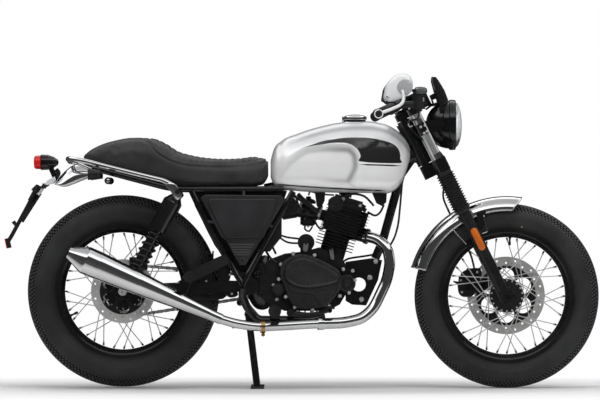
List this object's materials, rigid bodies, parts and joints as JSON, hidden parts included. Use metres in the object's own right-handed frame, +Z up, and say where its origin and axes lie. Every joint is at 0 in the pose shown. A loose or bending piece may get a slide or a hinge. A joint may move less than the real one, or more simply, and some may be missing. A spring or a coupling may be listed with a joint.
{
  "type": "cafe racer motorcycle",
  "caption": "Single cylinder cafe racer motorcycle with wire wheels, a teardrop tank, a humped seat and a centre stand.",
  "frame": {"origin": "on the floor, midway along the motorcycle and on its centre plane", "axes": "+X forward, towards the front wheel; +Y to the rider's left; +Z up"},
  "size_m": [2.047, 0.72, 1.079],
  "materials": {
    "frame_black": "gloss",
    "engine_black": "satin black paint",
    "engine_cover": "satin black paint",
    "chrome": "polished",
    "steel": "brushed",
    "spoke": "bright",
    "rim_black": "gloss black",
    "hub": "satin black",
    "tyre": "matt",
    "rubber": "matt",
    "tank_silver": "gloss silver",
    "seat": "satin",
    "cover_grey": "satin",
    "black_plastic": "matt",
    "gloss_black": "gloss",
    "lens_red": "gloss",
    "glass": "clear",
    "silver_plastic": "gloss silver",
    "alloy": "satin"
  },
  "bodies": {
    "chassis": {"frame_spine": "frame_black", "frame_rails": "frame_black", "frame_sides": "frame_black", "swingarm": "frame_black", "rear_axle": "steel", "rear_shocks": "frame_black", "shock_springs": "chrome", "engine_plates": "frame_black", "crankcase": "engine_black", "cylinder_barrel": "engine_black", "cylinder_head": "engine_black", "cover_right": "engine_cover", "cover_left": "engine_cover", "carburettor": "alloy", "airbox": "black_plastic", "exhaust_pipe": "chrome", "silencer": "chrome", "tank": "tank_silver", "filler_cap": "chrome", "seat": "seat", "side_covers": "cover_grey", "grab_rail": "chrome", "tail_guard": "chrome", "tail_bracket": "black_plastic", "tail_lamp": "gloss_black", "tail_lens": "lens_red", "rear_indicators": "black_plastic", "footrests": "black_plastic", "foot_controls": "steel", "chain": "steel", "rear_caliper": "engine_black", "engine_cable": "rubber"},
    "steering": {"steering_yokes": "frame_black", "fork_tubes": "chrome", "fork_gaiters": "rubber", "fork_lowers": "engine_black", "front_guard": "chrome", "headlamp": "gloss_black", "headlamp_glass": "glass", "fly_screen": "gloss_black", "gauge": "black_plastic", "handlebar": "frame_black", "grips": "rubber", "hand_controls": "black_plastic", "mirrors": "silver_plastic", "front_caliper": "engine_black", "front_axle": "steel", "brake_hose": "rubber"},
    "front_wheel": {"front_tyre": "tyre", "front_rim": "rim_black", "front_spokes": "spoke", "front_hub": "hub", "front_disc": "steel"},
    "rear_wheel": {"rear_tyre": "tyre", "rear_rim": "rim_black", "rear_spokes": "spoke", "rear_hub": "hub", "rear_disc": "steel"},
    "centre_stand": {"centre_stand": "frame_black"},
    "side_stand": {"side_stand": "frame_black"}
  },
  "joints": [
    {"name": "steering_turn", "type": "hinge", "parent": "chassis", "child": "steering", "pos_m": [0.39434, 0, 0.83354], "axis": [-0.4384, 0, 0.8988], "range_deg": [-35, 35]},
    {"name": "front_wheel_spin", "type": "hinge", "parent": "steering", "child": "front_wheel", "pos_m": [0.705, 0, 0.3175], "axis": [0, 1, 0], "continuous": true},
    {"name": "rear_wheel_spin", "type": "hinge", "parent": "chassis", "child": "rear_wheel", "pos_m": [-0.615, 0, 0.334], "axis": [0, 1, 0], "continuous": true},
    {"name": "centre_stand_fold", "type": "hinge", "parent": "chassis", "child": "centre_stand", "pos_m": [-0.185, 0, 0.255], "axis": [0, 1, 0], "range_deg": [0, 100]},
    {"name": "side_stand_fold", "type": "hinge", "parent": "chassis", "child": "side_stand", "pos_m": [-0.024, 0.158, 0.224], "axis": [0, -1, 0], "range_deg": [0, 100]}
  ]
}
